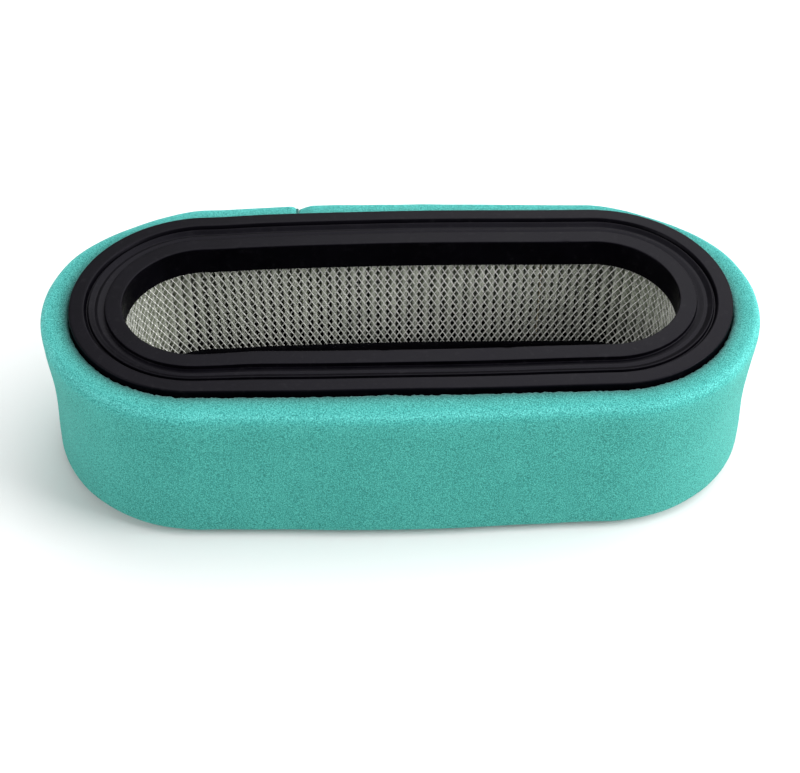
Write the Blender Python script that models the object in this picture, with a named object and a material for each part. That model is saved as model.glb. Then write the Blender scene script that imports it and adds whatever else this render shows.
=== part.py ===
"""Oval pleated air filter element with moulded end caps and a slide-off foam pre-cleaner sleeve."""
import math

import bpy
import bmesh

MM = 0.001

# Cap outline: a racetrack whose long sides bulge slightly.
CAP_LENGTH = 200.0 * MM
CAP_END_RADIUS = 39.5 * MM
SIDE_BOW = 1.0 * MM
CAP_WIDTH = 15.9 * MM

# Heights, from the underside of the lower cap.
ELEMENT_HEIGHT = 53.1 * MM
LAND_STEP = 0.3 * MM
CAP_DEPTH = 9.4 * MM

# Cap cross-section, measured outward from the inner lip and up from the inner land.
INNER_LAND_WIDTH = 5.2 * MM
CHANNEL_DEPTH = 1.3 * MM
CHANNEL_RISE = 0.55 * MM
DIP_AT = 8.3 * MM
RIDGE_AT = 9.95 * MM
RIDGE_BELOW_LAND = 0.15 * MM
RIDGE_HALF_WIDTH = 0.12 * MM
GROOVE_DEPTH = 1.0 * MM
GROOVE_WIDTH = 0.45 * MM
OUTER_LAND_AT = 11.4 * MM
EDGE_ROUND = 0.45 * MM

# Socket under each cap for the liner and the paper pack.
LIP_THICKNESS = 0.8 * MM
SKIRT_THICKNESS = 2.6 * MM
SOCKET_ROOF = 4.0 * MM
SEAT_CLEARANCE = 0.3 * MM

# Liner and paper.
LINER_THICKNESS = 0.6 * MM
PAPER_THICKNESS = 0.4 * MM
PLEAT_PITCH = 3.15 * MM
FOLD_WIDTH = 1.5 * MM
MEDIA_SEAM_X = 46.0 * MM
GLUE_THICKNESS = 0.5 * MM
GLUE_CLEARANCE = 0.3 * MM

# Foam sleeve.
FOAM_THICKNESS = 8.4 * MM
FOAM_EXTRA_BOW = 0.7 * MM
FOAM_CLEARANCE = 0.4 * MM
FOAM_BASE = 1.6 * MM
FOAM_BELOW_TOP = 1.7 * MM
FOAM_EDGE_ROUND = 2.4 * MM
FOAM_SHOULDER_ROUND = 1.6 * MM
FOAM_SHOULDER_PULL = 0.8 * MM
FOAM_FAR_DROP = 1.5 * MM
FOAM_RIGHT_DROP = 1.4 * MM
FOAM_SEAM_LIFT = 0.7 * MM
FOAM_SEAM_LIFT_REACH = 22.0 * MM
FOAM_WAIST = 1.1 * MM
FOAM_SEAM_X = -32.0 * MM
SEAM_BOND_THICKNESS = 0.8 * MM
SEAM_CLEARANCE = 0.3 * MM
SEAM_END_ROUND = 2.2 * MM
SEAM_BOND_INSET = 1.4 * MM

ARC_STEPS = 24
SIDE_STEPS = 8
ROUND_STEPS = 3

FOAM_HEIGHT = ELEMENT_HEIGHT - FOAM_BASE - FOAM_BELOW_TOP
HALF_STRAIGHT = CAP_LENGTH / 2.0 - CAP_END_RADIUS
INNER_END_RADIUS = CAP_END_RADIUS - CAP_WIDTH
LINER_INNER_AT = LIP_THICKNESS + SEAT_CLEARANCE
PACK_INNER_AT = LINER_INNER_AT + LINER_THICKNESS + SEAT_CLEARANCE
SOCKET_OUTER_AT = CAP_WIDTH - SKIRT_THICKNESS
PACK_OUTER_AT = SOCKET_OUTER_AT - SEAT_CLEARANCE
PACK_BASE = LAND_STEP + SOCKET_ROOF + SEAT_CLEARANCE
PACK_TOP = ELEMENT_HEIGHT - PACK_BASE


def outline_point(along, radius, bow):
    """Point and outward normal on a racetrack, for a turn fraction from 0 to 1 anticlockwise.

    The turn fraction is shared by every radius, so points of nested outlines face each other.
    """
    straight = 2.0 * HALF_STRAIGHT
    arc = math.pi * CAP_END_RADIUS
    total = 2.0 * (straight + arc)
    travel = (along % 1.0) * total
    if travel < straight:
        x = HALF_STRAIGHT - travel
        return bowed_side(x, radius, bow, 1.0)
    travel -= straight
    if travel < arc:
        angle = math.pi / 2.0 + travel / CAP_END_RADIUS
        normal = (math.cos(angle), math.sin(angle))
        return (-HALF_STRAIGHT + radius * normal[0], radius * normal[1]), normal
    travel -= arc
    if travel < straight:
        x = -HALF_STRAIGHT + travel
        return bowed_side(x, radius, bow, -1.0)
    travel -= straight
    angle = -math.pi / 2.0 + travel / CAP_END_RADIUS
    normal = (math.cos(angle), math.sin(angle))
    return (HALF_STRAIGHT + radius * normal[0], radius * normal[1]), normal


def bowed_side(x, radius, bow, side):
    """Point and normal on one long side, which bulges by the bow at its middle."""
    ratio = x / HALF_STRAIGHT
    bulge = bow * (1.0 - ratio * ratio) ** 2
    slope = -4.0 * bow * ratio * (1.0 - ratio * ratio) / HALF_STRAIGHT
    length = math.hypot(slope, 1.0)
    return (x, side * (radius + bulge)), (-slope / length, side / length)


def turn_at_x(x, side):
    """Turn fraction of the point with the given x on the far (+Y) or near (-Y) side."""
    straight = 2.0 * HALF_STRAIGHT
    arc = math.pi * CAP_END_RADIUS
    total = 2.0 * (straight + arc)
    if side > 0.0:
        return (HALF_STRAIGHT - x) / total
    return (straight + arc + HALF_STRAIGHT + x) / total


def even_turn(distance, radius):
    """Turn fraction after a distance along the racetrack of the given radius, anticlockwise."""
    straight = 2.0 * HALF_STRAIGHT
    total = 2.0 * (straight + math.pi * CAP_END_RADIUS)
    lap = 2.0 * (straight + math.pi * radius)
    laps = math.floor(distance / lap)
    left = distance - laps * lap
    travel = 0.0
    for length, stretch in ((straight, 1.0), (math.pi * radius, CAP_END_RADIUS / radius)) * 2:
        step = min(left, length)
        travel += step * stretch
        left -= step
    return laps + travel / total


def whole_turn():
    """Turn fractions of one closed outline, finer on the end arcs."""
    straight = 2.0 * HALF_STRAIGHT
    arc = math.pi * CAP_END_RADIUS
    total = 2.0 * (straight + arc)
    turns = []
    start = 0.0
    for length, steps in ((straight, SIDE_STEPS), (arc, ARC_STEPS)) * 2:
        for step in range(steps):
            turns.append((start + length * step / steps) / total)
        start += length
    return turns


def quarter_round(centre, radius, start, sweep=-90.0):
    """Points of a quarter circle in a cross-section, clockwise from the start angle in degrees."""
    points = []
    for step in range(ROUND_STEPS + 1):
        angle = math.radians(start + sweep * step / ROUND_STEPS)
        points.append((centre[0] + radius * math.cos(angle), centre[1] + radius * math.sin(angle)))
    return points


def add_object(name, mesh_builder, colour, roughness, metallic=0.0, smooth_angle=35.0):
    """Finish one closed body as a named object with its own material."""
    bmesh.ops.recalc_face_normals(mesh_builder, faces=mesh_builder.faces)
    limit = math.radians(smooth_angle)
    for face in mesh_builder.faces:
        face.smooth = True
    for edge in mesh_builder.edges:
        edge.smooth = edge.calc_face_angle(math.pi) < limit
    mesh = bpy.data.meshes.new(name)
    mesh_builder.to_mesh(mesh)
    mesh_builder.free()
    material = bpy.data.materials.new(name + "_material")
    material.use_nodes = True
    shader = material.node_tree.nodes["Principled BSDF"]
    shader.inputs["Base Color"].default_value = (*colour, 1.0)
    shader.inputs["Roughness"].default_value = roughness
    shader.inputs["Metallic"].default_value = metallic
    mesh.materials.append(material)
    part = bpy.data.objects.new(name, mesh)
    bpy.context.scene.collection.objects.link(part)
    return part


def sweep_ring(profile, bow):
    """Closed ring: the (radius, height) profile carried round the whole racetrack."""
    builder = bmesh.new()
    rows = []
    for along in whole_turn():
        row = []
        for radius, height in profile:
            (x, y), _ = outline_point(along, radius, bow)
            row.append(builder.verts.new((x, y, height)))
        rows.append(row)
    for index, row in enumerate(rows):
        following = rows[(index + 1) % len(rows)]
        for spot in range(len(profile)):
            other = (spot + 1) % len(profile)
            builder.faces.new((row[spot], row[other], following[other], following[spot]))
    return builder


def cap_profile():
    """Cross-section of the upper cap as (distance from the lip, height above the inner land)."""
    channel = -CHANNEL_DEPTH
    rise = channel + CHANNEL_RISE
    ridge_foot = RIDGE_AT + RIDGE_HALF_WIDTH
    outer_edge = (CAP_WIDTH - EDGE_ROUND, LAND_STEP - EDGE_ROUND)
    points = quarter_round((EDGE_ROUND, -EDGE_ROUND), EDGE_ROUND, 180.0)
    points += [
        (INNER_LAND_WIDTH, 0.0),
        (INNER_LAND_WIDTH + 0.2 * MM, channel),
        (DIP_AT - 0.9 * MM, rise),
        (DIP_AT, rise - 0.1 * MM),
        (RIDGE_AT - RIDGE_HALF_WIDTH, -RIDGE_BELOW_LAND),
        (ridge_foot, -RIDGE_BELOW_LAND),
        (ridge_foot + 0.2 * MM, -GROOVE_DEPTH),
        (ridge_foot + 0.2 * MM + GROOVE_WIDTH, -GROOVE_DEPTH),
        (OUTER_LAND_AT, LAND_STEP),
    ]
    points += quarter_round(outer_edge, EDGE_ROUND, 90.0)
    points += [
        (CAP_WIDTH, -CAP_DEPTH),
        (SOCKET_OUTER_AT, -CAP_DEPTH),
        (SOCKET_OUTER_AT, -SOCKET_ROOF),
        (LIP_THICKNESS, -SOCKET_ROOF),
        (LIP_THICKNESS, -CAP_DEPTH),
        (0.0, -CAP_DEPTH),
    ]
    return points


def build_cap(name, upper):
    """One moulded end cap; the lower one is the upper one turned over."""
    land = ELEMENT_HEIGHT - LAND_STEP
    profile = []
    for across, height in cap_profile():
        level = land + height
        if not upper:
            level = ELEMENT_HEIGHT - level
        profile.append((INNER_END_RADIUS + across, level))
    return add_object(name, sweep_ring(profile, SIDE_BOW), (0.022, 0.022, 0.024), 0.48)


def build_liner():
    """Oval sheet tube that backs the inner pleat tips."""
    inner = INNER_END_RADIUS + LINER_INNER_AT
    outer = inner + LINER_THICKNESS
    profile = [(inner, PACK_BASE), (inner, PACK_TOP), (outer, PACK_TOP), (outer, PACK_BASE)]
    return add_object("inner_liner", sweep_ring(profile, SIDE_BOW), (0.55, 0.56, 0.55), 0.35, 0.9)


def offset_path(points, distance):
    """Mitred copy of an open path, moved sideways by the distance."""
    moved = []
    last = len(points) - 1
    for index, (x, y) in enumerate(points):
        before = points[max(index - 1, 0)]
        after = points[min(index + 1, last)]
        normals = []
        for start, end in ((before, (x, y)), ((x, y), after)):
            run = math.hypot(end[0] - start[0], end[1] - start[1])
            if run > 0.0:
                normals.append(((end[1] - start[1]) / run, (start[0] - end[0]) / run))
        sum_x = sum(normal[0] for normal in normals)
        sum_y = sum(normal[1] for normal in normals)
        size = math.hypot(sum_x, sum_y)
        half_cosine = size / len(normals)
        reach = distance / max(half_cosine, 0.3)
        moved.append((x + reach * sum_x / size, y + reach * sum_y / size))
    return moved


def prism(left, right, bottom, top):
    """Closed upright wall between two open paths of equal length."""
    builder = bmesh.new()
    loop = list(left) + list(reversed(right))
    lower = [builder.verts.new((x, y, bottom)) for x, y in loop]
    upper = [builder.verts.new((x, y, top)) for x, y in loop]
    count = len(loop)
    for index in range(count):
        other = (index + 1) % count
        builder.faces.new((lower[index], lower[other], upper[other], upper[index]))
    for index in range(len(left) - 1):
        mate = count - 1 - index
        builder.faces.new((lower[index], lower[index + 1], lower[mate - 1], lower[mate]))
        builder.faces.new((upper[index], upper[index + 1], upper[mate - 1], upper[mate]))
    return builder


def pleat_path():
    """Middle line of the folded paper, its folds evenly spaced along the inner fold line."""
    inner = INNER_END_RADIUS + PACK_INNER_AT + PAPER_THICKNESS / 2.0
    outer = INNER_END_RADIUS + PACK_OUTER_AT - PAPER_THICKNESS / 2.0
    lap = 2.0 * (2.0 * HALF_STRAIGHT + math.pi * inner)
    seam = HALF_STRAIGHT - MEDIA_SEAM_X
    panel_gap = GLUE_THICKNESS + 2.0 * GLUE_CLEARANCE + PAPER_THICKNESS
    start = seam + panel_gap / 2.0
    length = lap - panel_gap
    count = round(length / PLEAT_PITCH)
    half_pitch = length / (2 * count)
    flat = FOLD_WIDTH - PAPER_THICKNESS
    stations = [(start, outer)]
    for fold in range(2 * count):
        radius = inner if fold % 2 == 0 else outer
        middle = start + half_pitch * (fold + 0.5)
        stations.append((middle - flat / 2.0, radius))
        stations.append((middle + flat / 2.0, radius))
    stations.append((start + length, inner))
    path = []
    for distance, radius in stations:
        (x, y), _ = outline_point(even_turn(distance, inner), radius, SIDE_BOW)
        path.append((x, y))
    return path


def build_media():
    """Pleated paper strip whose two end panels meet at the glued seam."""
    path = pleat_path()
    left = offset_path(path, PAPER_THICKNESS / 2.0)
    right = offset_path(path, -PAPER_THICKNESS / 2.0)
    builder = prism(left, right, PACK_BASE, PACK_TOP)
    return add_object("pleated_media", builder, (0.42, 0.43, 0.38), 0.85, 0.0, 20.0)


def seam_plate(name, seam_x, inner, outer, bottom, top, thickness, bow, colour, roughness):
    """Thin upright plate that stands across a ring wall at a seam."""
    along = turn_at_x(seam_x, 1.0)
    (inner_x, inner_y), normal = outline_point(along, inner, bow)
    side_x = -normal[1] * thickness / 2.0
    side_y = normal[0] * thickness / 2.0
    outer_x = inner_x + normal[0] * (outer - inner)
    outer_y = inner_y + normal[1] * (outer - inner)
    left = [(inner_x + side_x, inner_y + side_y), (outer_x + side_x, outer_y + side_y)]
    right = [(inner_x - side_x, inner_y - side_y), (outer_x - side_x, outer_y - side_y)]
    return add_object(name, prism(left, right, bottom, top), colour, roughness)


def build_media_glue():
    """Glue film between the two end panels of the paper strip."""
    inner = INNER_END_RADIUS + PACK_INNER_AT + 2.4 * MM
    outer = INNER_END_RADIUS + PACK_OUTER_AT - 2.4 * MM
    colour = (0.62, 0.55, 0.38)
    return seam_plate("media_seam_glue", MEDIA_SEAM_X, inner, outer, PACK_BASE, PACK_TOP,
                      GLUE_THICKNESS, SIDE_BOW, colour, 0.5)


def foam_radii():
    """Inner and outer end radius of the foam wall."""
    inner = CAP_END_RADIUS + FOAM_CLEARANCE
    return inner, inner + FOAM_THICKNESS


def foam_turns(gap):
    """Turn fractions from one cut end of the foam strip to the other, closer near the cut."""
    arc = math.pi * CAP_END_RADIUS
    total = 2.0 * (2.0 * HALF_STRAIGHT + arc)
    seam = turn_at_x(FOAM_SEAM_X, 1.0)
    start = seam + gap / 2.0 / total
    end = seam + 1.0 - gap / 2.0 / total
    near = [SEAM_END_ROUND * share / total for share in (0.0, 0.13, 0.5, 1.0)]
    turns = [start + step for step in near]
    margin = near[-1] + 1.5 * MM / total
    for turn in sorted(whole_turn() + [value + 1.0 for value in whole_turn()]):
        if start + margin < turn < end - margin:
            turns.append(turn)
    turns += [end - step for step in reversed(near)]
    return turns, start, end, total


def foam_top_drop(point, normal):
    """How far the sleeve's top edge sits below its highest place, at a point of the cap outline."""
    far = (1.0 + normal[1]) / 2.0
    lift = FOAM_SEAM_LIFT * math.exp(-((point[0] - FOAM_SEAM_X) / FOAM_SEAM_LIFT_REACH) ** 2)
    right = FOAM_RIGHT_DROP * far * max(normal[0], 0.0)
    return (FOAM_FAR_DROP - lift) * far * far + right


def foam_profile(point, normal, cut_drop):
    """Cross-section of the foam wall: waisted round the ends, softer at the far bends' shoulder."""
    inner, outer = foam_radii()
    bottom = FOAM_BASE
    bend = 2.2 * (2.0 * normal[0] * normal[1]) ** 2 * max(normal[1], 0.0) ** 4
    top = bottom + FOAM_HEIGHT - foam_top_drop(point, normal) - cut_drop
    shoulder = outer - FOAM_SHOULDER_PULL * bend
    edge = FOAM_EDGE_ROUND + FOAM_SHOULDER_ROUND * bend
    points = [(inner, bottom), (inner, top)]
    points += quarter_round((shoulder - edge, top - edge), edge, 90.0)
    for share in (0.75, 0.5, 0.25):
        pinch = FOAM_WAIST * normal[0] ** 2 * math.sin(math.pi * share) ** 2
        points.append((outer - pinch, bottom + FOAM_HEIGHT * share))
    low = FOAM_EDGE_ROUND
    points += quarter_round((outer - low, bottom + low), low, 0.0)
    return points


def build_foam():
    """Foam strip bent into a loop, with both cut ends rounded down at the top."""
    gap = SEAM_BOND_THICKNESS + 2.0 * SEAM_CLEARANCE
    turns, start, end, total = foam_turns(gap)
    builder = bmesh.new()
    rows = []
    for along in turns:
        to_cut = min(along - start, end - along) * total
        drop = 0.0
        if to_cut < SEAM_END_ROUND:
            reach = SEAM_END_ROUND - to_cut
            drop = SEAM_END_ROUND - math.sqrt(max(SEAM_END_ROUND ** 2 - reach ** 2, 0.0))
        row = []
        point, normal = outline_point(along, CAP_END_RADIUS, 0.0)
        for radius, height in foam_profile(point, normal, drop):
            swell = FOAM_EXTRA_BOW * (radius - foam_radii()[0]) / FOAM_THICKNESS
            (x, y), _ = outline_point(along, radius, SIDE_BOW + swell)
            row.append(builder.verts.new((x, y, height)))
        rows.append(row)
    count = len(rows[0])
    for row, following in zip(rows, rows[1:]):
        for spot in range(count):
            other = (spot + 1) % count
            builder.faces.new((row[spot], row[other], following[other], following[spot]))
    builder.faces.new(rows[0])
    builder.faces.new(list(reversed(rows[-1])))
    return add_object("foam_sleeve", builder, (0.085, 0.46, 0.40), 0.95, 0.0, 40.0)


def build_foam_bond():
    """Adhesive film that holds the two cut ends of the foam strip together."""
    inner, outer = foam_radii()
    point, normal = outline_point(turn_at_x(FOAM_SEAM_X, 1.0), CAP_END_RADIUS, 0.0)
    top = FOAM_BASE + FOAM_HEIGHT - foam_top_drop(point, normal) - SEAM_BOND_INSET
    bottom = FOAM_BASE + 0.8 * MM
    return seam_plate("foam_seam_bond", FOAM_SEAM_X, inner + 0.6 * MM, outer - 0.9 * MM,
                      bottom, top, SEAM_BOND_THICKNESS, SIDE_BOW, (0.03, 0.20, 0.19), 0.6)


def add_slide_axis():
    """Empty on the element's upright axis, along which the pre-cleaner sleeve is pulled off."""
    axis = bpy.data.objects.new("pre_cleaner_axis", None)
    axis.empty_display_type = "SINGLE_ARROW"
    axis.empty_display_size = FOAM_HEIGHT
    bpy.context.scene.collection.objects.link(axis)
    return axis


def main():
    for item in list(bpy.data.objects):
        bpy.data.objects.remove(item, do_unlink=True)
    build_cap("upper_end_cap", True)
    build_cap("lower_end_cap", False)
    build_liner()
    build_media()
    build_media_glue()
    slide_axis = add_slide_axis()
    build_foam().parent = slide_axis
    build_foam_bond().parent = slide_axis


main()
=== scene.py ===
"""Looks of an oval pleated air filter element with a foam pre-cleaner sleeve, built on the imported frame."""
import math

import bpy
import numpy as np
from mathutils import Matrix, Vector, noise


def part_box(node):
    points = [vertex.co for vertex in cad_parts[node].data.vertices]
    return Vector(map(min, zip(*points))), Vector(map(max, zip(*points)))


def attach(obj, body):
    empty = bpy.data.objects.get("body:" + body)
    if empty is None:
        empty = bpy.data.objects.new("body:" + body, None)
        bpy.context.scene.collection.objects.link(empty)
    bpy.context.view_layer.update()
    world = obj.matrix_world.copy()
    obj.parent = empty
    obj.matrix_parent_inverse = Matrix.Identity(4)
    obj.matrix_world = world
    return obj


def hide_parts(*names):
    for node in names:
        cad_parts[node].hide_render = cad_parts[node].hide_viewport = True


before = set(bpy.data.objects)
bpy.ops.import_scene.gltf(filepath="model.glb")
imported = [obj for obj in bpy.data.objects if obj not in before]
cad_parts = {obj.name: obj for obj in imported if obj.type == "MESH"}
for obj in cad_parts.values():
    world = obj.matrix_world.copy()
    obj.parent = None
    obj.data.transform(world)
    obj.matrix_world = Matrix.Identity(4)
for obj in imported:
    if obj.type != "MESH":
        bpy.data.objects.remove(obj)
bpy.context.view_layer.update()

MM = 0.001
LENGTH = 200.0 * MM
END_RADIUS = 39.5 * MM
HALF_STRAIGHT = LENGTH / 2.0 - END_RADIUS
BOW = 1.0 * MM
CAP_WIDTH = 15.9 * MM
INNER_RADIUS = END_RADIUS - CAP_WIDTH
HEIGHT = 53.1 * MM
LAND_STEP = 0.3 * MM
LAND = HEIGHT - LAND_STEP
CAP_DEPTH = 9.4 * MM
STRAIGHT = 2.0 * HALF_STRAIGHT
ARC = math.pi * END_RADIUS
TOTAL = 2.0 * (STRAIGHT + ARC)

CAP_STATIONS = 640
CAP_LONGEST_EDGE = 0.9 * MM
SOCKET_ROOF = 4.0 * MM
SOCKET_OUTER_AT = 13.3 * MM
LIP_THICKNESS = 0.8 * MM
LINER_THICKNESS = 0.6 * MM
LINER_COLUMNS = 196
LINER_ROWS = 25
PAPER_THICK = 0.4 * MM
PLEAT_DEPTH = 11.0 * MM
PLEAT_PITCH = 3.16 * MM
FOLD_TIP = 0.40 * MM
PACK_SEAM_X = 46.0 * MM
PACK_SEAM_GAP = 1.5 * MM
FOAM_INNER = END_RADIUS + 0.4 * MM
FOAM_THICKNESS = 8.4 * MM
FOAM_OUTER = FOAM_INNER + FOAM_THICKNESS
FOAM_SWELL = 0.7 * MM
FOAM_SEAM_X = -32.0 * MM
FOAM_SEAM_GAP = 0.60 * MM
FOAM_STATION_STEP = 0.6 * MM
FOAM_TONE_REACH = 20.0 * MM


# ---------------------------------------------------------------- outlines and meshes

def outline(travel):
    """Centre point, outward normal and bow share of the racetrack for travels along it (arrays)."""
    s = np.mod(travel, TOTAL)
    centre = np.zeros((len(s), 2))
    normal = np.zeros((len(s), 2))
    bow = np.zeros(len(s))
    far = s < STRAIGHT
    left = (s >= STRAIGHT) & (s < STRAIGHT + ARC)
    near = (s >= STRAIGHT + ARC) & (s < 2.0 * STRAIGHT + ARC)
    right = s >= 2.0 * STRAIGHT + ARC
    centre[far, 0] = HALF_STRAIGHT - s[far]
    normal[far, 1] = 1.0
    angle = math.pi / 2.0 + (s[left] - STRAIGHT) / END_RADIUS
    centre[left, 0] = -HALF_STRAIGHT
    normal[left] = np.stack([np.cos(angle), np.sin(angle)], 1)
    centre[near, 0] = -HALF_STRAIGHT + (s[near] - STRAIGHT - ARC)
    normal[near, 1] = -1.0
    angle = -math.pi / 2.0 + (s[right] - 2.0 * STRAIGHT - ARC) / END_RADIUS
    centre[right, 0] = HALF_STRAIGHT
    normal[right] = np.stack([np.cos(angle), np.sin(angle)], 1)
    side = far | near
    ratio = centre[side, 0] / HALF_STRAIGHT
    bow[side] = (1.0 - ratio ** 2) ** 2
    return centre, normal, bow


def smooth_share(t):
    """Share that eases from 0 to 1 as t goes from 0 to 1."""
    return t * t * (3.0 - 2.0 * t)


def settle(x, side, u):
    """Outward shift of the long sides, relaxed slightly out of true: out on +Y, in on -Y.

    It fades out on the left straight and round the right end; side is the normal's Y share.
    """
    share = smooth_share(np.clip((x + HALF_STRAIGHT) / (20.0 * MM), 0.0, 1.0)) * np.abs(side) ** 1.5
    middle = np.exp(-((x + 2.0 * MM) / (26.0 * MM)) ** 2)
    across = np.clip(u / CAP_WIDTH, 0.0, 1.0)
    far = (0.6 + 0.15 * across + 0.2 * np.clip(x / (40.0 * MM), 0.0, 1.0)) * MM
    inner = 1.15 + 0.25 * middle
    outer = 0.65 * middle - 0.15
    near = (inner + (outer - inner) * across) * MM
    return np.where(side > 0.0, far, -near) * share


def at(travel, radius, bow_size):
    """Points of the racetrack of an end radius (arrays or numbers), as an (n, 2) array."""
    centre, normal, bow = outline(travel)
    reach = np.broadcast_to(radius, travel.shape) + bow * bow_size
    reach = reach + settle(centre[:, 0], normal[:, 1], radius - INNER_RADIUS)
    return centre + normal * reach[:, None]


def even_travel(distance, radius):
    """Shared travel reached after a distance along the racetrack of the given radius."""
    arc = math.pi * radius
    lap = 2.0 * (STRAIGHT + arc)
    laps = np.floor(distance / lap)
    marks = [0.0, STRAIGHT, STRAIGHT + arc, 2.0 * STRAIGHT + arc, lap]
    travels = [0.0, STRAIGHT, STRAIGHT + ARC, 2.0 * STRAIGHT + ARC, TOTAL]
    return laps * TOTAL + np.interp(distance - laps * lap, marks, travels)


def travel_at_x(x, side):
    """Travel of the point with the given x on the far (+1) or near (-1) side."""
    if side > 0:
        return HALF_STRAIGHT - x
    return STRAIGHT + ARC + HALF_STRAIGHT + x


def mesh_object(name, points, faces, material, smooth=True, sharp=None):
    """Mesh object from point and quad arrays."""
    mesh = bpy.data.meshes.new(name)
    mesh.from_pydata([tuple(p) for p in points], [], [tuple(int(i) for i in f) for f in faces])
    mesh.update()
    mesh.materials.append(material)
    if smooth:
        mesh.shade_smooth()
        if sharp is not None:
            mesh.set_sharp_from_angle(angle=math.radians(sharp))
    piece = bpy.data.objects.new(name, mesh)
    bpy.context.scene.collection.objects.link(piece)
    return piece


def ring_faces(rows, columns, closed=True):
    """Quads of a grid of stations (rows) by profile points (columns, always closed)."""
    last = rows if closed else rows - 1
    i, j = np.meshgrid(np.arange(last), np.arange(columns), indexing="ij")
    i2 = (i + 1) % rows
    j2 = (j + 1) % columns
    quads = np.stack([i * columns + j, i2 * columns + j, i2 * columns + j2, i * columns + j2], -1)
    return quads.reshape(-1, 4)


def rounded(points):
    """Closed cross-section with its corners rounded: each point is (u, z, radius, steps)."""
    result = []
    count = len(points)
    for index, (u, z, radius, steps) in enumerate(points):
        here = np.array([u, z])
        before = np.array(points[index - 1][:2])
        after = np.array(points[(index + 1) % count][:2])
        if radius <= 0.0:
            result.append(here)
            continue
        to_before = (before - here) / np.linalg.norm(before - here)
        to_after = (after - here) / np.linalg.norm(after - here)
        half = math.acos(max(-1.0, min(1.0, float(to_before @ to_after)))) / 2.0
        cut = min(radius / math.tan(half), 0.49 * np.linalg.norm(before - here),
                  0.49 * np.linalg.norm(after - here))
        start = here + to_before * cut
        end = here + to_after * cut
        for step in range(steps + 1):
            t = step / steps
            result.append(start * (1 - t) ** 2 + here * 2 * t * (1 - t) + end * t ** 2)
    return np.array(result)


def finely(profile, step):
    """The closed cross-section with long edges divided."""
    result = []
    for index, here in enumerate(profile):
        after = profile[(index + 1) % len(profile)]
        parts = max(1, int(math.ceil(np.linalg.norm(after - here) / step)))
        for part in range(parts):
            result.append(here + (after - here) * part / parts)
    return np.array(result)


# ---------------------------------------------------------------- materials

def new_material(name):
    material = bpy.data.materials.new(name)
    material.use_nodes = True
    tree = material.node_tree
    shader = tree.nodes["Principled BSDF"]
    return material, tree, shader


def node(tree, kind, **inputs):
    made = tree.nodes.new(kind)
    for key, value in inputs.items():
        if key in ("operation", "data_type", "blend_type", "feature", "distance", "noise_dimensions"):
            setattr(made, key, value)
        else:
            made.inputs[key.replace("_", " ")].default_value = value
    return made


def ramp(tree, stops):
    made = tree.nodes.new("ShaderNodeValToRGB")
    elements = made.color_ramp.elements
    while len(elements) < len(stops):
        elements.new(0.5)
    for element, (position, colour) in zip(elements, stops):
        element.position = position
        element.color = (*colour, 1.0)
    return made


def rubber_material():
    """Black moulded cap: very dark body, satin skin, faint mould texture and dust, with the gloss faded on
    the side walls as painted shade.
    """
    material, tree, shader = new_material("cap_rubber_black")
    coordinates = tree.nodes.new("ShaderNodeTexCoord")
    fine = node(tree, "ShaderNodeTexNoise", Scale=2600.0, Detail=3.0, Roughness=0.6)
    broad = node(tree, "ShaderNodeTexNoise", Scale=90.0, Detail=4.0, Roughness=0.55)
    for texture in (fine, broad):
        tree.links.new(coordinates.outputs["Object"], texture.inputs["Vector"])
    colour = ramp(tree, [(0.3, (0.0007, 0.0006, 0.0013)), (0.75, (0.0020, 0.0017, 0.0031))])
    tree.links.new(broad.outputs["Fac"], colour.inputs["Fac"])
    scuff = node(tree, "ShaderNodeTexNoise", Scale=420.0, Detail=5.0, Roughness=0.72)
    tree.links.new(coordinates.outputs["Object"], scuff.inputs["Vector"])
    marks = ramp(tree, [(0.56, (0.0, 0.0, 0.0)), (0.72, (0.0050, 0.0048, 0.0052)),
                        (0.80, (0.016, 0.016, 0.017))])
    tree.links.new(scuff.outputs["Fac"], marks.inputs["Fac"])
    dusty = tree.nodes.new("ShaderNodeVectorMath")
    tree.links.new(colour.outputs["Color"], dusty.inputs[0])
    tree.links.new(marks.outputs["Color"], dusty.inputs[1])
    tree.links.new(dusty.outputs["Vector"], shader.inputs["Base Color"])
    rough = tree.nodes.new("ShaderNodeMapRange")
    rough.inputs["To Min"].default_value = 0.34
    rough.inputs["To Max"].default_value = 0.46
    tree.links.new(broad.outputs["Fac"], rough.inputs["Value"])
    tree.links.new(rough.outputs["Result"], shader.inputs["Roughness"])
    # Painted shade: the specular level follows the facing, strong on upward faces and faint on the side
    # walls, so the walls stay dark.
    facing = tree.nodes.new("ShaderNodeNewGeometry")
    upright = tree.nodes.new("ShaderNodeSeparateXYZ")
    tree.links.new(facing.outputs["Normal"], upright.inputs["Vector"])
    painted_wall_shade = tree.nodes.new("ShaderNodeMapRange")
    painted_wall_shade.inputs["To Min"].default_value = 0.012
    painted_wall_shade.inputs["To Max"].default_value = 0.11
    tree.links.new(upright.outputs["Z"], painted_wall_shade.inputs["Value"])
    tree.links.new(painted_wall_shade.outputs["Result"], shader.inputs["Specular IOR Level"])
    shader.inputs["Specular Tint"].default_value = (0.86, 0.82, 1.0, 1.0)
    bump = node(tree, "ShaderNodeBump", Strength=0.16, Distance=0.0001)
    tree.links.new(fine.outputs["Fac"], bump.inputs["Height"])
    tree.links.new(bump.outputs["Normal"], shader.inputs["Normal"])
    return material


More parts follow.
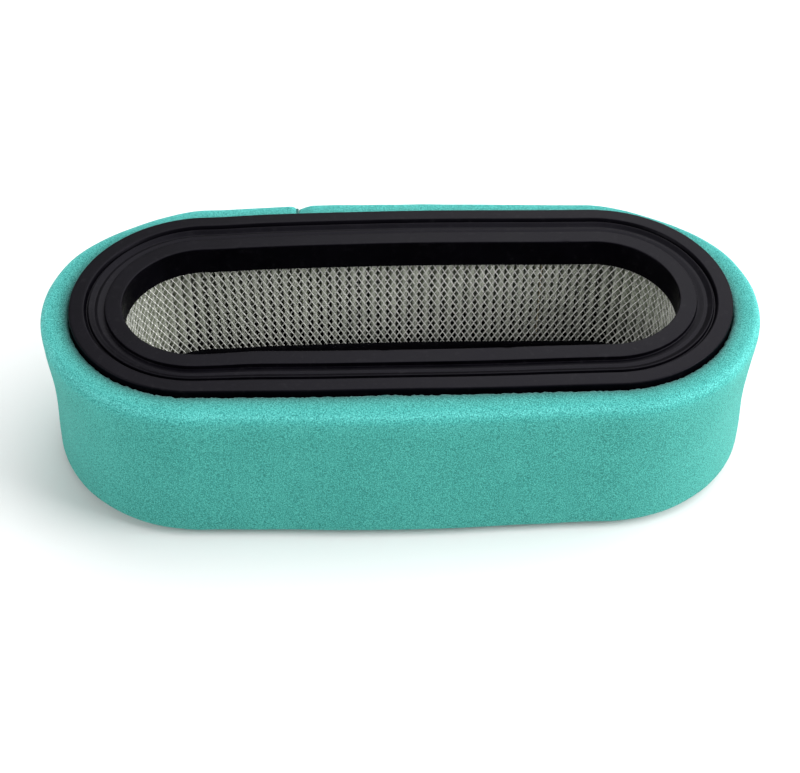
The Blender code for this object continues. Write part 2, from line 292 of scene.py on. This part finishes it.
def metal_material():
    """Expanded sheet: dull light metal with slight staining."""
    material, tree, shader = new_material("liner_expanded_metal")
    coordinates = tree.nodes.new("ShaderNodeTexCoord")
    stain = node(tree, "ShaderNodeTexNoise", Scale=160.0, Detail=4.0, Roughness=0.6)
    tree.links.new(coordinates.outputs["Object"], stain.inputs["Vector"])
    colour = ramp(tree, [(0.3, (0.56, 0.57, 0.54)), (0.7, (0.73, 0.73, 0.70))])
    tree.links.new(stain.outputs["Fac"], colour.inputs["Fac"])
    tree.links.new(colour.outputs["Color"], shader.inputs["Base Color"])
    rough = tree.nodes.new("ShaderNodeMapRange")
    rough.inputs["To Min"].default_value = 0.46
    rough.inputs["To Max"].default_value = 0.62
    tree.links.new(stain.outputs["Fac"], rough.inputs["Value"])
    tree.links.new(rough.outputs["Result"], shader.inputs["Roughness"])
    shader.inputs["Metallic"].default_value = 0.45
    return material


def paper_material():
    """Resin-treated filter paper: grey-olive, fibrous, rough, darkened towards the bottom as painted shade.
    """
    material, tree, shader = new_material("filter_paper_pleated")
    coordinates = tree.nodes.new("ShaderNodeTexCoord")
    fibre = node(tree, "ShaderNodeTexNoise", Scale=1500.0, Detail=5.0, Roughness=0.7)
    cloud = node(tree, "ShaderNodeTexNoise", Scale=120.0, Detail=3.0, Roughness=0.5)
    for texture in (fibre, cloud):
        tree.links.new(coordinates.outputs["Object"], texture.inputs["Vector"])
    both = node(tree, "ShaderNodeMath", operation="ADD")
    tree.links.new(fibre.outputs["Fac"], both.inputs[0])
    tree.links.new(cloud.outputs["Fac"], both.inputs[1])
    half = node(tree, "ShaderNodeMath", operation="MULTIPLY")
    half.inputs[1].default_value = 0.5
    tree.links.new(both.outputs[0], half.inputs[0])
    colour = ramp(tree, [(0.35, (0.53, 0.562, 0.482)), (0.65, (0.70, 0.73, 0.635))])
    tree.links.new(half.outputs[0], colour.inputs["Fac"])
    # Painted shade: the colour darkens towards the bottom of the pack, the dark band reaching a little higher
    # towards +X.
    place = tree.nodes.new("ShaderNodeSeparateXYZ")
    tree.links.new(coordinates.outputs["Object"], place.inputs["Vector"])
    foot = tree.nodes.new("ShaderNodeMapRange")
    foot.inputs["From Min"].default_value = 0.004
    foot.inputs["From Max"].default_value = 0.024
    foot.inputs["To Min"].default_value = 0.22
    foot.inputs["To Max"].default_value = 1.0
    slant = node(tree, "ShaderNodeMath", operation="MULTIPLY_ADD")
    tree.links.new(place.outputs["X"], slant.inputs[0])
    slant.inputs[1].default_value = -0.07
    tree.links.new(place.outputs["Z"], slant.inputs[2])
    tree.links.new(slant.outputs[0], foot.inputs["Value"])
    painted_low_shade_paper = tree.nodes.new("ShaderNodeVectorMath")
    painted_low_shade_paper.operation = "SCALE"
    tree.links.new(colour.outputs["Color"], painted_low_shade_paper.inputs[0])
    tree.links.new(foot.outputs["Result"], painted_low_shade_paper.inputs["Scale"])
    tree.links.new(painted_low_shade_paper.outputs["Vector"], shader.inputs["Base Color"])
    shader.inputs["Roughness"].default_value = 0.9
    shader.inputs["Specular IOR Level"].default_value = 0.2
    bump = node(tree, "ShaderNodeBump", Strength=0.4, Distance=0.0002)
    tree.links.new(fibre.outputs["Fac"], bump.inputs["Height"])
    tree.links.new(bump.outputs["Normal"], shader.inputs["Normal"])
    return material


# Painted shade and highlight on the foam along the way from the sleeve's inner top edge, over the top and
# down the side:
# the way in mm, then factors on red, green and blue. It is painted dark beside the cap as shade and palest
# along the outer edge as a painted highlight.
FOAM_EDGE_PAINTED_LIGHT = [
    (0.6, 0.80, 0.45, 0.47), (1.6, 0.87, 0.65, 0.66), (3.2, 1.02, 0.90, 0.92), (5.6, 1.18, 1.07, 1.11),
    (8.4, 1.74, 1.36, 1.42), (10.0, 1.36, 1.21, 1.24), (13.2, 1.06, 1.04, 1.03), (17.6, 0.97, 0.965, 0.94)]


def foam_material():
    """Open-cell foam: pores as dark specks between lighter struts, with painted shade beside the cap and a
    painted highlight along the outer top edge.
    """
    material, tree, shader = new_material("foam_open_cell")
    coordinates = tree.nodes.new("ShaderNodeTexCoord")
    cells = node(tree, "ShaderNodeTexVoronoi", Scale=2900.0, Randomness=1.0)
    grain = node(tree, "ShaderNodeTexNoise", Scale=2500.0, Detail=3.0, Roughness=0.7)
    cloud = node(tree, "ShaderNodeTexNoise", Scale=70.0, Detail=3.0, Roughness=0.6)
    for texture in (cells, grain, cloud):
        tree.links.new(coordinates.outputs["Object"], texture.inputs["Vector"])
    mix = node(tree, "ShaderNodeMath", operation="MULTIPLY_ADD")
    tree.links.new(cells.outputs["Distance"], mix.inputs[0])
    mix.inputs[1].default_value = -0.45
    tree.links.new(grain.outputs["Fac"], mix.inputs[2])
    cloudy = node(tree, "ShaderNodeMath", operation="MULTIPLY_ADD")
    tree.links.new(cloud.outputs["Fac"], cloudy.inputs[0])
    cloudy.inputs[1].default_value = 0.10
    tree.links.new(mix.outputs[0], cloudy.inputs[2])
    colour = ramp(tree, [(0.12, (0.022, 0.205, 0.182)), (0.33, (0.050, 0.352, 0.312)),
                         (0.56, (0.115, 0.560, 0.505))])
    tree.links.new(cloudy.outputs[0], colour.inputs["Fac"])
    # painted shade beside the cap and painted highlight along the outer edge, read from the way over the edge
    way = tree.nodes.new("ShaderNodeAttribute")
    way.attribute_name = "way_over_edge"
    painted_edge_light = ramp(tree, [(place * MM / FOAM_TONE_REACH, (red / 2.0, green / 2.0, blue / 2.0))
                       for place, red, green, blue in FOAM_EDGE_PAINTED_LIGHT])
    tree.links.new(way.outputs["Fac"], painted_edge_light.inputs["Fac"])
    double = tree.nodes.new("ShaderNodeVectorMath")
    double.operation = "SCALE"
    double.inputs["Scale"].default_value = 2.0
    tree.links.new(painted_edge_light.outputs["Color"], double.inputs[0])
    painted_light_foam = tree.nodes.new("ShaderNodeVectorMath")
    painted_light_foam.operation = "MULTIPLY"
    tree.links.new(colour.outputs["Color"], painted_light_foam.inputs[0])
    tree.links.new(double.outputs["Vector"], painted_light_foam.inputs[1])
    tree.links.new(painted_light_foam.outputs["Vector"], shader.inputs["Base Color"])
    shader.inputs["Roughness"].default_value = 0.95
    shader.inputs["Specular IOR Level"].default_value = 0.1
    shader.inputs["Sheen Weight"].default_value = 0.25
    shader.inputs["Sheen Roughness"].default_value = 0.5
    shader.inputs["Sheen Tint"].default_value = (0.55, 0.95, 0.9, 1.0)
    bump = node(tree, "ShaderNodeBump", Strength=0.38, Distance=0.0004)
    tree.links.new(mix.outputs[0], bump.inputs["Height"])
    tree.links.new(bump.outputs["Normal"], shader.inputs["Normal"])
    return material


def glue_material(name, dark, light, roughness):
    """Dried glue with uneven colour."""
    material, tree, shader = new_material(name)
    coordinates = tree.nodes.new("ShaderNodeTexCoord")
    cloud = node(tree, "ShaderNodeTexNoise", Scale=400.0, Detail=4.0, Roughness=0.6)
    tree.links.new(coordinates.outputs["Object"], cloud.inputs["Vector"])
    colour = ramp(tree, [(0.3, dark), (0.7, light)])
    tree.links.new(cloud.outputs["Fac"], colour.inputs["Fac"])
    tree.links.new(colour.outputs["Color"], shader.inputs["Base Color"])
    shader.inputs["Roughness"].default_value = roughness
    bump = node(tree, "ShaderNodeBump", Strength=0.3, Distance=0.0002)
    tree.links.new(cloud.outputs["Fac"], bump.inputs["Height"])
    tree.links.new(bump.outputs["Normal"], shader.inputs["Normal"])
    return material


RUBBER = rubber_material()
METAL = metal_material()
PAPER = paper_material()
FOAM = foam_material()
PAPER_GLUE = glue_material("paper_glue_dried", (0.50, 0.43, 0.28), (0.68, 0.60, 0.42), 0.5)
# The foam glue film is dark teal: partly the glue's own colour, partly painted shade standing in for the
# shadowed seam notch between the foam ends.
FOAM_GLUE_SEAM_SHADE = glue_material("foam_glue_seam_shade", (0.010, 0.100, 0.090), (0.024, 0.165, 0.150), 0.8)


# ---------------------------------------------------------------- end caps

def cap_section():
    """Cross-section of the upper cap: distance from the inner lip, height above the inner land."""
    lip_edge = [(0.0, -CAP_DEPTH / MM, 0.15, 2), (0.0, 0.0, 0.45, 6)]
    inner_land_edge = [(5.15, 0.0, 0.22, 4)]
    channel = [(5.3, -1.35, 0.3, 4), (7.4, -0.80, 0.8, 4), (8.3, -0.98, 0.5, 4)]
    ridge = [(9.85, -0.12, 0.25, 4), (10.1, -0.2, 0.1, 3)]
    groove = [(10.32, -1.0, 0.15, 3), (10.72, -1.0, 0.18, 3)]
    outer_land = [(11.35, LAND_STEP / MM, 0.55, 5), (CAP_WIDTH / MM, LAND_STEP / MM, 0.55, 6)]
    skirt_foot = [(CAP_WIDTH / MM, -CAP_DEPTH / MM, 0.3, 2), (SOCKET_OUTER_AT / MM, -CAP_DEPTH / MM, 0.0, 1)]
    socket = [(SOCKET_OUTER_AT / MM, -SOCKET_ROOF / MM, 0.0, 1),
              (LIP_THICKNESS / MM, -SOCKET_ROOF / MM, 0.0, 1),
              (LIP_THICKNESS / MM, -CAP_DEPTH / MM, 0.1, 2)]
    corners = lip_edge + inner_land_edge + channel + ridge + groove + outer_land + skirt_foot + socket
    points = [(u * MM, z * MM, radius * MM, steps) for u, z, radius, steps in corners]
    return finely(rounded(points), CAP_LONGEST_EDGE)


def build_cap(name, node_name, upper):
    """Moulded cap ring with a slightly uneven skin and small mould nibs on its inner lip."""
    section = cap_section()
    stations = np.arange(CAP_STATIONS) * TOTAL / CAP_STATIONS
    count = len(section)
    grid = np.zeros((len(stations), count, 3))
    centre, normal, bow = outline(stations)
    nibs = np.zeros(len(stations))
    for x, side, size in ((52.0, 1, 0.35), (-50.0, 1, 0.30), (-6.0, -1, 0.2), (30.0, -1, 0.25)):
        place = travel_at_x(x * MM, side)
        away = np.abs((stations - place + TOTAL / 2) % TOTAL - TOTAL / 2)
        nibs += size * MM * np.exp(-(away / (1.3 * MM)) ** 2)
    turn = 2 * math.pi * stations / TOTAL
    wave = np.array([noise.noise(Vector((math.cos(t) * 6.0, math.sin(t) * 6.0, 1.7))) for t in turn])
    waviness = 0.05 * MM
    for j, (u, z) in enumerate(section):
        lip = math.exp(-(u / (0.6 * MM)) ** 2) * math.exp(-(z / (1.4 * MM)) ** 2)
        reach = INNER_RADIUS + u + bow * BOW + nibs * lip * 0.6
        reach += settle(centre[:, 0], normal[:, 1], u)
        grid[:, j, :2] = centre + normal * reach[:, None]
        top = math.exp(-((z - LAND_STEP) / (2.5 * MM)) ** 2)
        height = LAND + z + (wave - 1.0) * waviness * top - nibs * lip * 0.5
        grid[:, j, 2] = height if upper else HEIGHT - height
    points = grid.reshape(-1, 3)
    faces = ring_faces(len(stations), count)
    if not upper:
        faces = faces[:, ::-1]
    piece = mesh_object(name, points, faces, RUBBER, sharp=50)
    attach(piece, "cartridge")
    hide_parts(node_name)
    return piece


build_cap("upper_cap_moulding", "upper_end_cap", True)
build_cap("lower_cap_moulding", "lower_end_cap", False)


# ---------------------------------------------------------------- expanded metal liner

def liner_faces(columns, rows):
    """Plates of the bonds and strands on one face of the sheet, and the edges along its openings."""
    left, up, right, down = 0, 1, 2, 3

    def corner(row, column, which):
        return (row * columns + column % columns) * 4 + which

    plates, walls = [], []
    for row in range(rows):
        for column in range(columns):
            plates.append([corner(row, column, which) for which in (left, up, right, down)])
            if row == rows - 1:
                continue
            to_right = column + (row % 2)
            to_left = to_right - 1
            strand_right = [corner(row, column, up), corner(row + 1, to_right, left),
                            corner(row + 1, to_right, down), corner(row, column, right)]
            strand_left = [corner(row, column, left), corner(row + 1, to_left, down),
                           corner(row + 1, to_left, right), corner(row, column, up)]
            for strand in (strand_right, strand_left):
                plates.append(strand)
                walls.append(strand[:2])
                walls.append(strand[2:])
    for column in range(columns):
        walls.append([corner(0, column, right), corner(0, column, down)])
        walls.append([corner(0, column, down), corner(0, column, left)])
        walls.append([corner(rows - 1, column, left), corner(rows - 1, column, up)])
        walls.append([corner(rows - 1, column, up), corner(rows - 1, column, right)])
    return np.array(plates), np.array(walls)


def build_liner():
    """Diamond expanded sheet: bonds joined by tilted strands, bent round the opening."""
    lowest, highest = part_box("inner_liner")
    bottom, top = lowest[2], highest[2]
    radius = highest[1] - BOW - LINER_THICKNESS / 2.0
    columns, rows = LINER_COLUMNS, LINER_ROWS
    lap = 2.0 * (STRAIGHT + math.pi * radius)
    pitch = lap / columns
    rise = (top - bottom) / (rows - 1)
    half_wide = 0.14 * MM
    half_tall = 0.24 * MM
    tilt = 0.21 * MM
    thick = 0.08 * MM
    travels, levels, depths = [], [], []
    for row in range(rows):
        shift = 0.5 * (row % 2)
        level = bottom + row * rise
        for column in range(columns):
            s = (column + shift) * pitch
            for ds, dz, dd in ((-half_wide, 0, 0), (0, half_tall, tilt), (half_wide, 0, 0),
                               (0, -half_tall, -tilt)):
                travels.append(s + ds)
                levels.append(min(max(level + dz, bottom), top))
                depths.append(dd)
    travels = even_travel(np.array(travels) % lap, radius)
    levels = np.array(levels)
    depths = np.array(depths)
    front = at(travels, radius + depths - thick, BOW)
    back = at(travels, radius + depths + thick, BOW)
    points = np.concatenate([np.column_stack([front, levels]), np.column_stack([back, levels])])
    offset = len(travels)
    plates, walls = liner_faces(columns, rows)
    sides = np.column_stack([walls[:, 1], walls[:, 0], walls[:, 0] + offset, walls[:, 1] + offset])
    faces = np.concatenate([plates, plates[:, ::-1] + offset, sides])
    piece = mesh_object("liner_expanded_sheet", points, faces, METAL, smooth=False)
    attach(piece, "cartridge")
    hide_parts("inner_liner")
    return piece


build_liner()


# ---------------------------------------------------------------- pleated paper

def pleat_edges(inner, seam):
    """Distances along the inner fold line at which each pleat starts, spread at given places beside the seam.
    """
    lap = 2.0 * (STRAIGHT + math.pi * inner)
    length = lap - PACK_SEAM_GAP
    pitches = []
    reached = 0.0
    while reached < length - 0.5 * PLEAT_PITCH:
        place = (seam + reached) % lap
        pitch = PLEAT_PITCH * (1.0 + 0.07 * noise.noise(Vector((len(pitches) * 0.45, 3.1, 0.0))))
        if place < STRAIGHT:
            x = HALF_STRAIGHT - place
            for middle, reach, change in ((13.0, 12.0, 0.6), (48.0, 6.0, -0.85), (-48.0, 8.0, -0.3)):
                pitch += change * MM * math.exp(-((x - middle * MM) / (reach * MM)) ** 2)
        pitches.append(pitch)
        reached += pitch
    edges = np.concatenate([[0.0], np.cumsum(pitches)])
    return seam + PACK_SEAM_GAP / 2.0 + edges / edges[-1] * length


def pleat_path(edges, inner, outer):
    """Travels and radii of the folded strip's middle line, with round inner and outer fold tips."""
    distances, radii = [edges[0]], [outer - 1.0 * MM]
    steps = 5
    for start, end in zip(edges[:-1], edges[1:]):
        width = end - start
        half = min(FOLD_TIP, 0.23 * width)
        inner_fold = (start + 0.27 * width, inner, 1.0)
        outer_fold = (start + 0.77 * width, outer, -1.0)
        for middle, radius, sign in (inner_fold, outer_fold):
            for step in range(steps):
                angle = math.pi * step / (steps - 1)
                distances.append(middle - half * math.cos(angle))
                radii.append(radius + sign * half * (1.0 - math.sin(angle)))
    distances.append(edges[-1])
    radii.append(inner + 1.0 * MM)
    return even_travel(np.array(distances), inner), np.array(radii)


def strip_sides(path):
    """Front and back face points of a strip of paper whose middle line is the path."""
    ahead = np.roll(path, -1, 0)
    behind = np.roll(path, 1, 0)
    ahead[-1] = path[-1]
    behind[0] = path[0]
    along = ahead - behind
    along /= np.linalg.norm(along, axis=1)[:, None]
    across = np.column_stack([along[:, 1], -along[:, 0]]) * PAPER_THICK / 2
    return path + across, path - across


def strip_faces(count, level_count):
    """Faces of the closed strip: both sides and both ends, then its lower and upper edges."""
    ring = 2 * count
    faces = []
    index = np.arange(ring)
    following = (index + 1) % ring
    for row in range(level_count - 1):
        base = row * ring
        faces.append(np.column_stack([base + index, base + following,
                                      base + ring + following, base + ring + index]))
    index = np.arange(count - 1)
    mate = ring - 1 - index
    faces.append(np.column_stack([index, mate, mate - 1, index + 1]))
    base = (level_count - 1) * ring
    faces.append(np.column_stack([base + index, base + index + 1, base + mate - 1, base + mate]))
    return np.concatenate(faces)


def build_paper():
    """Folded paper ring with rounded fold tips, a given spread of pitch and a bunched seam."""
    lowest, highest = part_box("pleated_media")
    bottom, top = lowest[2], highest[2]
    outer = highest[1] - BOW - PAPER_THICK / 2.0
    inner = outer - (PLEAT_DEPTH - PAPER_THICK)
    edges = pleat_edges(inner, travel_at_x(PACK_SEAM_X, 1))
    travels, radii = pleat_path(edges, inner, outer)
    leaning = travel_at_x(-50.0 * MM, 1)
    lean_share = np.exp(-((travels - leaning) / (9.0 * MM)) ** 2)
    lean_share += np.exp(-((travels - TOTAL - leaning) / (9.0 * MM)) ** 2)
    levels = np.linspace(bottom, top, 14)
    rows = []
    for level in levels:
        middle = 4.0 * (level - bottom) * (top - level) / (top - bottom) ** 2
        sway = np.array([noise.noise(Vector((s * 180.0, level * 60.0, 5.0))) for s in travels])
        lean = 0.055 * (level - (bottom + top) / 2.0) * lean_share
        path = at(travels + sway * 0.22 * MM * middle + lean, radii, BOW)
        front, back = strip_sides(path)
        ring = np.concatenate([front, back[::-1]])
        rows.append(np.column_stack([ring, np.full(len(ring), level)]))
    faces = strip_faces(len(travels), len(levels))
    piece = mesh_object("paper_pleats", np.concatenate(rows), faces, PAPER, sharp=60)
    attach(piece, "cartridge")
    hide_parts("pleated_media")
    return piece


build_paper()


# ---------------------------------------------------------------- foam sleeve

def foam_section(bottom, top, normal, x):
    """Points round the foam wall, waisted round the ends, softer at the far bends' shoulder."""
    bend = 2.2 * (2.0 * normal[0] * normal[1]) ** 2 * max(normal[1], 0.0) ** 4
    far = (1.0 + normal[1]) / 2.0
    near = min(max(-normal[1] * 1.25, 0.0), 1.0)
    lift = 0.7 * math.exp(-((x - FOAM_SEAM_X) / (22.0 * MM)) ** 2)
    drop = ((1.5 - lift) * far * far + 1.4 * far * max(normal[0], 0.0)) * MM
    shoulder = FOAM_OUTER - 0.8 * MM * bend
    edge = (2.4 + 1.6 * bend + 1.2 * smooth_share(near)) * MM
    low_edge = 2.4 * MM
    inner_edge = 0.7 * MM
    waist = 1.1 * MM * normal[0] ** 2
    middle = (bottom + top) / 2.0
    crown = top - drop

    def pinch(level):
        return waist * math.sin(math.pi * (level - bottom) / (top - bottom)) ** 2

    points = [(FOAM_INNER + inner_edge, bottom), (FOAM_INNER, bottom + inner_edge)]
    inner_rows = 61
    for step in range(1, inner_rows + 1):
        rise = (crown - bottom - 2.0 * inner_edge) * step / inner_rows
        points.append((FOAM_INNER, bottom + inner_edge + rise))
    points.append((FOAM_INNER + inner_edge * 0.3, crown - inner_edge * 0.3))
    across = shoulder - edge - FOAM_INNER - inner_edge
    for step in range(8):
        points.append((FOAM_INNER + inner_edge + across * step / 8, crown))
    for step in range(11):
        angle = math.pi / 2.0 * (1.0 - step / 10)
        points.append((shoulder - edge * (1.0 - math.cos(angle)), crown - edge * (1.0 - math.sin(angle))))
    start = crown - edge
    outer_rows = 33
    for step in range(1, outer_rows):
        t = step / outer_rows
        level = start + (middle - start) * t
        points.append((shoulder + (FOAM_OUTER - shoulder) * smooth_share(t) - pinch(level), level))
    for step in range(outer_rows):
        level = middle + (bottom + low_edge - middle) * step / outer_rows
        points.append((FOAM_OUTER - pinch(level), level))
    for step in range(9):
        angle = -math.pi / 2.0 * step / 8
        points.append((FOAM_OUTER - low_edge * (1.0 - math.cos(angle)),
                       bottom + low_edge * (1.0 + math.sin(angle))))
    across = FOAM_OUTER - low_edge - FOAM_INNER - inner_edge
    for step in range(1, 8):
        points.append((FOAM_OUTER - low_edge - across * step / 8, bottom))
    return np.array(points)


def foam_end_drop(begin, end):
    """How far the top falls at the strip's rounded first end and at its cut last end."""
    left_round = 2.2 * MM
    right_cut = 4.4 * MM
    if begin < left_round:
        return left_round - math.sqrt(left_round ** 2 - (left_round - begin) ** 2)
    if end < right_cut:
        return (right_cut - end) ** 1.3 / right_cut ** 0.3 * 0.42
    return 0.0


def way_over_edge(section):
    """Way from the inner top edge over the top and down the outside; down the inside it starts past it."""
    depth = section[:, 1].max() - section[:, 1]
    way = section[:, 0] - FOAM_INNER + depth
    inside = section[:, 0] < FOAM_INNER + 0.1 * MM
    way[inside] = np.minimum(depth[inside] + 1.6 * MM, 5.0 * MM)
    return way


def porous_move(place, u, depth):
    """Outward move of a point of the foam's skin: pores, stronger at the inner top edge, and soft lumps."""
    pore = noise.noise(Vector(place * 1100.0))
    lump = noise.noise(Vector(place * 95.0))
    edge = math.exp(-(u / (0.8 * MM)) ** 2) * math.exp(-(depth / (1.2 * MM)) ** 2)
    return (0.03 + 0.36 * edge) * MM * pore + 0.13 * MM * lump - 0.11 * MM


def build_foam():
    """Foam strip bent into a loop, porous skin in the mesh, rounded and cut seam ends."""
    lowest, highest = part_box("foam_sleeve")
    bottom, top = lowest[2], highest[2]
    strip = TOTAL - FOAM_SEAM_GAP
    end_zone = 6.0 * MM
    distances = np.concatenate([np.linspace(0, end_zone, 14)[:-1],
                                np.arange(end_zone, strip - end_zone, FOAM_STATION_STEP),
                                strip - np.linspace(end_zone, 0, 14)])
    centre, normal, bow = outline(travel_at_x(FOAM_SEAM_X, 1) + FOAM_SEAM_GAP / 2 + distances)
    rows = len(distances)
    count = len(foam_section(bottom, top, (0.0, 1.0), 0.0))
    points = np.zeros((rows, count, 3))
    way = np.zeros((rows, count))
    for i in range(rows):
        section = foam_section(bottom, top, normal[i], centre[i, 0])
        drop = foam_end_drop(distances[i], strip - distances[i])
        share = (section[:, 0] - FOAM_INNER) / FOAM_THICKNESS
        reach = section[:, 0] + bow[i] * (BOW + FOAM_SWELL * share)
        reach += settle(centre[i, 0], normal[i, 1], CAP_WIDTH) * (1.0 - np.clip(share, 0.0, 1.0))
        follow = np.clip((section[:, 1] - (top - 9.0 * MM)) / (9.0 * MM), 0.0, 1.0)
        points[i, :, :2] = centre[i] + normal[i] * reach[:, None]
        points[i, :, 2] = section[:, 1] - drop * follow
        way[i] = way_over_edge(section)
        tangent = np.roll(section, -1, 0) - np.roll(section, 1, 0)
        tangent /= np.linalg.norm(tangent, axis=1)[:, None]
        depth = section[:, 1].max() - section[:, 1]
        for j in range(count):
            size = porous_move(points[i, j], section[j, 0] - FOAM_INNER, depth[j])
            points[i, j, :2] -= normal[i] * tangent[j, 1] * size
            points[i, j, 2] += tangent[j, 0] * size
    first = tuple(range(count))
    last = tuple((rows - 1) * count + j for j in reversed(range(count)))
    faces = [tuple(quad) for quad in ring_faces(rows, count, closed=False)] + [first, last]
    piece = mesh_object("foam_pre_cleaner", points.reshape(-1, 3), faces, FOAM, sharp=70)
    # the way over the edge drives the foam's painted shade and painted highlight
    tone = piece.data.attributes.new("way_over_edge", "FLOAT", "POINT")
    tone.data.foreach_set("value", (way / FOAM_TONE_REACH).ravel())
    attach(piece, "pre_cleaner")
    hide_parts("foam_sleeve")
    return piece


build_foam()

for film, film_material in (("media_seam_glue", PAPER_GLUE), ("foam_seam_bond", FOAM_GLUE_SEAM_SHADE)):
    for film_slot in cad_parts[film].material_slots:
        film_slot.material = film_material


# ---------------------------------------------------------------- floor, lights, camera

def build_stage():
    """Pale plain floor just under the element."""
    material, tree, shader = new_material("floor_pale")
    coordinates = tree.nodes.new("ShaderNodeTexCoord")
    cloud = node(tree, "ShaderNodeTexNoise", Scale=6.0, Detail=2.0, Roughness=0.5)
    tree.links.new(coordinates.outputs["Object"], cloud.inputs["Vector"])
    colour = ramp(tree, [(0.3, (0.935, 0.935, 0.935)), (0.7, (0.955, 0.955, 0.955))])
    tree.links.new(cloud.outputs["Fac"], colour.inputs["Fac"])
    tree.links.new(colour.outputs["Color"], shader.inputs["Base Color"])
    shader.inputs["Roughness"].default_value = 0.9
    shader.inputs["Specular IOR Level"].default_value = 0.1
    half_size = 4.0
    points = [(half_size * x, half_size * y, 0.0) for x, y in ((-1, -1), (1, -1), (1, 1), (-1, 1))]
    floor = mesh_object("floor", points, [(0, 1, 2, 3)], material, smooth=False)
    floor.location.z = -0.2 * MM


def area_light(name, position, target, size, power):
    """White rectangular light that faces its target."""
    data = bpy.data.lights.new(name, "AREA")
    data.shape = "RECTANGLE"
    data.size = size[0]
    data.size_y = size[1]
    data.energy = power
    light = bpy.data.objects.new(name, data)
    light.location = position
    direction = Vector(target) - Vector(position)
    light.rotation_euler = direction.to_track_quat("-Z", "Y").to_euler()
    bpy.context.scene.collection.objects.link(light)
    return light


def build_lights():
    """Soft studio: a dim white surround, a broad light overhead and three fills at the front."""
    world = bpy.data.worlds.new("studio")
    bpy.context.scene.world = world
    world.use_nodes = True
    background = world.node_tree.nodes["Background"]
    background.inputs["Color"].default_value = (1.0, 1.0, 1.0, 1.0)
    background.inputs["Strength"].default_value = 0.32
    area_light("overhead", (0.40, 0.46, 0.97), (0.0, 0.03, 0.0), (1.6, 1.3), 16.0)
    area_light("left_front", (-1.05, -0.40, 0.55), (0.0, 0.0, 0.02), (0.6, 0.6), 5.5)
    area_light("right_front", (1.05, -0.30, 0.60), (0.0, 0.0, 0.02), (0.6, 0.6), 12.5)
    area_light("front_low", (0.0, -1.15, 0.38), (0.0, -0.25, 0.0), (1.6, 0.4), 0.4)


def build_camera():
    """Camera high in front of the near long side, looking down at about 45 degrees."""
    data = bpy.data.cameras.new("camera")
    data.sensor_width = 36.0
    data.lens = 72.3735
    data.clip_start = 0.01
    camera = bpy.data.objects.new("camera", data)
    right = Vector((0.999332, -0.035566, 0.008359))
    up = Vector((0.019004, 0.701427, 0.712487))
    back = Vector((-0.031203, -0.711853, 0.701635))
    turn = Matrix((right, up, back)).transposed()
    camera.matrix_world = Matrix.Translation((-0.016322, -0.36456, 0.320833 + HEIGHT)) @ turn.to_4x4()
    bpy.context.scene.collection.objects.link(camera)
    bpy.context.scene.camera = camera


build_stage()
build_lights()
build_camera()
bpy.context.scene.view_settings.view_transform = "Standard"
